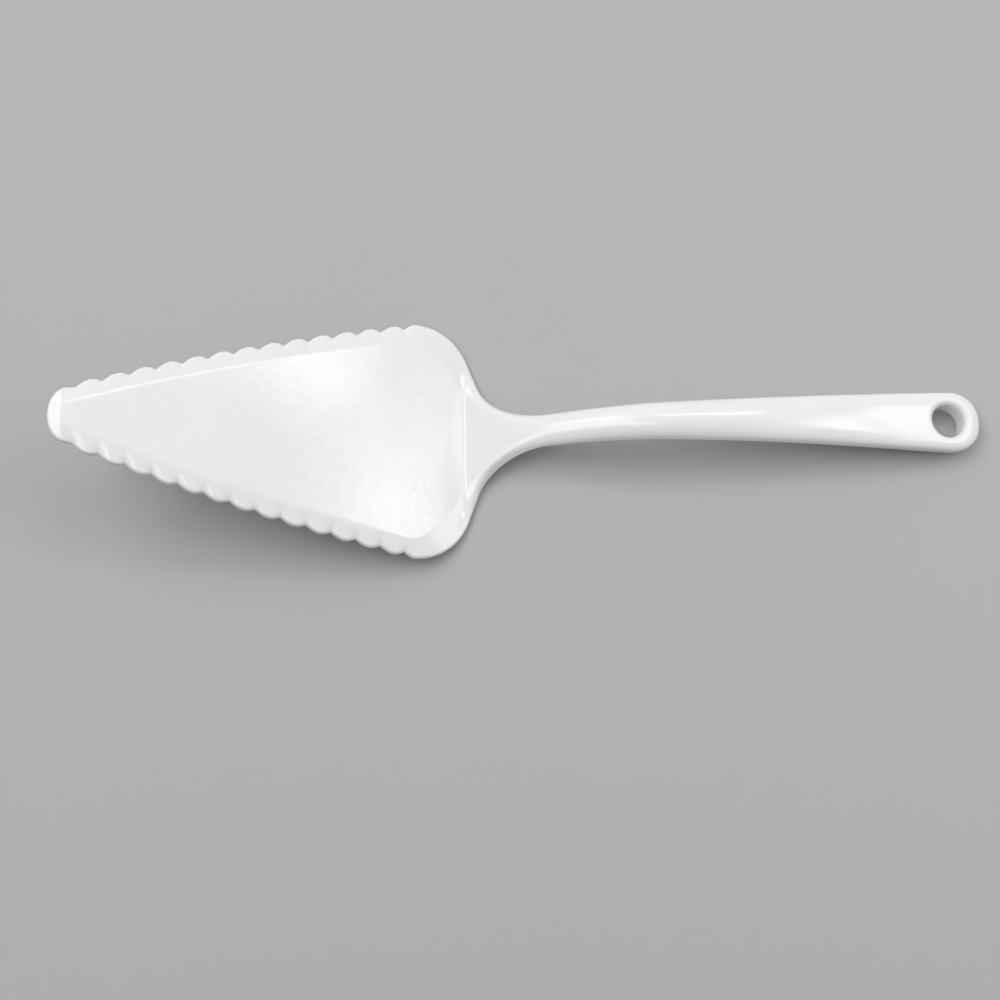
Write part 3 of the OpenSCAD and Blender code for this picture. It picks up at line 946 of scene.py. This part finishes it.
class SERVER_OT_eye(bpy.types.Operator):
    """Makes the rounded end of the handle with its hanging hole"""
    bl_idname = "server.eye"
    bl_label = "Hanging Eye"
    # Steps across half the joint with the grip, around the outline, from the rim out to it, and
    # around the rim
    front_steps = 28
    round_steps = 150
    out_steps = 20
    rim_steps = 8

    def execute(self, context):
        rules = Moulding(shape_sizes())
        edge = self.outline(rules)
        angle = np.arctan2(edge[:, 1], edge[:, 0] - rules.hole_at)
        upper = self.face(rules, edge, angle, 1.0)
        lower = self.face(rules, edge, angle, -1.0)
        rings = np.concatenate([upper, lower[:, ::-1]], 1)
        rows, columns = rings.shape[:2]
        rings = np.concatenate([rings, rings[:1]])
        piece = solid("hanging_eye", rules.laid(rings.reshape(-1, 3)), band(rows + 1, columns))
        finished(piece, "hanging_end", finish_named("clean_white"))
        return {"FINISHED"}

    def outline(self, rules):
        """Points around the end in plan: across its joint with the grip and around its edge"""
        start = float(rules.half_width(np.array([rules.end_start]))[0][0])
        across = start * np.sin(np.linspace(-QUARTER, QUARTER, 2 * self.front_steps + 1))
        front = np.stack([np.full_like(across, rules.end_start), -across], -1)
        corner = math.atan2(start, rules.end_start - rules.hole_at)
        turn = np.linspace(-corner, corner, self.round_steps + 1)[1:-1]
        near, far = np.zeros_like(turn), np.full_like(turn, rules.hole_inset * 2)
        for _ in range(OUTLINE_ROUNDS):
            reach = (near + far) / 2
            u, y = rules.hole_at + reach * np.cos(turn), reach * np.sin(turn)
            inside = rules.end_view(u, y)[2] < 1
            near, far = np.where(inside, reach, near), np.where(inside, far, reach)
        around = np.stack([rules.hole_at + near * np.cos(turn), near * np.sin(turn)], -1)
        return np.concatenate([front, around])

    def face(self, rules, edge, angle, side):
        """Upper or lower half of the end: the bore, its rounded rim and the face out to the edge"""
        at = np.array([rules.hole_at])
        centre = float(rules.side_view(at)[0][0])
        lean = math.atan(float(rules.top(at)[1][0]))
        turn = np.linspace(QUARTER, 0, self.rim_steps + 1)[None]
        radius = rules.hole_d / 2 + rules.hole_round * (1 - np.sin(turn))
        a, y = radius * np.cos(angle)[:, None], radius * np.sin(angle)[:, None]
        height = np.zeros_like(a)
        for _ in range(RIM_ROUNDS):
            u = rules.hole_at + a * math.cos(lean) - height * math.sin(lean)
            middle, depth, _ = rules.end_view(u, y, side)
            height = (middle + side * depth - centre - a * math.sin(lean)) / math.cos(lean)
        height = height - side * rules.hole_round * (1 - np.cos(turn))
        u = rules.hole_at + a * math.cos(lean) - height * math.sin(lean)
        z = centre + a * math.sin(lean) + height * math.cos(lean)
        rim = np.stack([u, y, z], -1)
        out = 1 - (1 - np.linspace(0, 1, self.out_steps + 1)[1:]) ** OUT_CROWD
        flat = mix(rim[:, -1:, :2], edge[:, None, :], out[None, :, None])
        u, y = flat[..., 0], flat[..., 1]
        middle, depth, share = rules.end_view(u, y, side)
        inset = rules.inset(least(share, 1.0), depth)
        past = most(0.0, u - rules.end_centre)
        away = most(np.hypot(past, y), WELD)
        face = np.stack([u - inset * past / away, y - inset * y / away, middle + side * depth], -1)
        return np.concatenate([rim, face], 1)


class SERVER_OT_studio(bpy.types.Operator):
    """Makes the floor, the soft lamps and the camera"""
    bl_idname = "server.studio"
    bl_label = "Studio"
    # The camera: its place, the directions of its picture's right and down and of its view, the width
    # of its sensor in millimetres, and where its view begins
    eye = (0.00797, -0.11954, 0.39128)
    right = (0.99869, -0.01994, -0.04709)
    down = (-0.03124, -0.96695, -0.25305)
    ahead = (-0.04049, 0.25419, -0.96631)
    sensor = 36.0
    view_start = 0.01
    # Half the floor's width, how far it lies below the server, and its roughness
    floor_half = 4.0
    floor_gap = 0.05 * MM
    floor_rough = 0.7
    # Watts in a square metre of a panel whose brightness is 1
    panel_power = 4
    # Where each lamp panel begins and ends along X and Y, its height, and the brightness it takes
    panels = {
        "overhead_panel": ((-0.85, -0.15), (-0.25, 0.45), 1.0, "overhead"),
        "near_panel": ((-0.15, 0.05), (-0.4, -0.08), 1.0, "near"),
        "back_panel": ((-0.85, -0.25), (0.5, 0.9), 1.0, "back"),
        "side_panel": ((0.05, 0.43), (0.42, 0.62), 1.0, "side"),
        "short_strip": ((0.185, 0.2575), (0.195, 0.29), 0.5, "strip"),
        "long_strip": ((1.45, 1.68), (0.0, 0.92), 2.5, "strip"),
        "corner_strip": ((1.73, 1.81), (0.9, 1.12), 2.5, "strip"),
        "end_panel": ((0.425, 0.78), (-0.15, 0.3), 0.5, "end"),
        "end_corner": ((0.305, 0.36), (-0.02, 0.115), 0.5, "end"),
    }

    def execute(self, context):
        light = context.scene.server_studio
        context.scene.view_settings.view_transform = "Standard"
        self.floor(light)
        self.sky(light)
        for name, (along, across, height, kind) in self.panels.items():
            self.panel(name, along, across, height, getattr(light, kind))
        self.camera(context, light)
        return {"FINISHED"}

    def floor(self, light):
        """A plain pale floor"""
        half, low = self.floor_half, -self.floor_gap
        mesh = bpy.data.meshes.new("floor")
        mesh.from_pydata([(-half, -half, low), (half, -half, low), (half, half, low),
                          (-half, half, low)], [], [(0, 1, 2, 3)])
        floor = bpy.data.objects.new("floor", mesh)
        bpy.context.scene.collection.objects.link(floor)
        material = bpy.data.materials.new("pale_floor")
        material.use_nodes = True
        shader = material.node_tree.nodes["Principled BSDF"]
        shader.inputs["Base Color"].default_value = (*light.floor, 1)
        shader.inputs["Roughness"].default_value = self.floor_rough
        mesh.materials.append(material)

    @staticmethod
    def sky(light):
        """An even sky, a little dimmer in front than behind"""
        world = bpy.data.worlds.new("studio_sky")
        world.use_nodes = True
        world.node_tree.nodes.clear()
        tree = Tree(world.node_tree)
        ways = tree.add("ShaderNodeTexCoord", out="Generated")
        behind = tree.add("ShaderNodeSeparateXYZ", {}, {"Vector": ways}, "Y")
        glow = tree.add("ShaderNodeBackground", {},
                        {"Strength": light.sky * (1.0 + light.shade * behind)})
        tree.add("ShaderNodeOutputWorld", {}, {"Surface": glow})
        bpy.context.scene.world = world

    def panel(self, name, along, across, height, brightness):
        """A soft panel above the table that faces down, of an even brightness"""
        lamp = bpy.data.lights.new(name, "AREA")
        lamp.shape = "RECTANGLE"
        lamp.size, lamp.size_y = along[1] - along[0], across[1] - across[0]
        lamp.energy = brightness * self.panel_power * lamp.size * lamp.size_y
        panel = bpy.data.objects.new(name, lamp)
        panel.location = (sum(along) / 2, sum(across) / 2, height)
        bpy.context.scene.collection.objects.link(panel)

    def camera(self, context, light):
        """The camera, at the viewing angle that the server is shown from"""
        camera = bpy.data.objects.new("camera", bpy.data.cameras.new("camera"))
        camera.data.lens = light.lens
        camera.data.sensor_width = self.sensor
        camera.data.clip_start = self.view_start
        axes = [Vector(self.right), -Vector(self.down), -Vector(self.ahead)]
        turn = Matrix(axes).transposed().to_4x4()
        camera.matrix_world = Matrix.Translation(self.eye) @ turn
        context.scene.collection.objects.link(camera)
        context.scene.camera = camera


class SERVER_PT_panel(bpy.types.Panel):
    """Lists the cake server's pieces and sizes"""
    bl_idname = "SERVER_PT_panel"
    bl_label = "Cake Server"
    bl_space_type = "VIEW_3D"
    bl_region_type = "UI"
    bl_category = "Cake Server"

    def draw(self, context):
        for operator in OPERATORS:
            self.layout.operator(operator.bl_idname)
        for key, group in GROUPS.items():
            box = self.layout.box()
            for name in group.__annotations__:
                box.prop(getattr(context.scene, key), name)


OPERATORS = (SERVER_OT_blade, SERVER_OT_border, SERVER_OT_neck, SERVER_OT_eye, SERVER_OT_studio)
CLASSES = (*GROUPS.values(), *OPERATORS, SERVER_PT_panel)


def register():
    for kind in CLASSES:
        bpy.utils.register_class(kind)
    for key, group in GROUPS.items():
        setattr(bpy.types.Scene, key, bpy.props.PointerProperty(type=group))


def unregister():
    for key in GROUPS:
        delattr(bpy.types.Scene, key)
    for kind in reversed(CLASSES):
        bpy.utils.unregister_class(kind)


def main():
    """Makes the studio and the pieces"""
    register()
    bpy.ops.server.studio()
    bpy.ops.server.blade()
    bpy.ops.server.border()
    bpy.ops.server.neck()
    bpy.ops.server.eye()


if __name__ == "__main__":
    main()
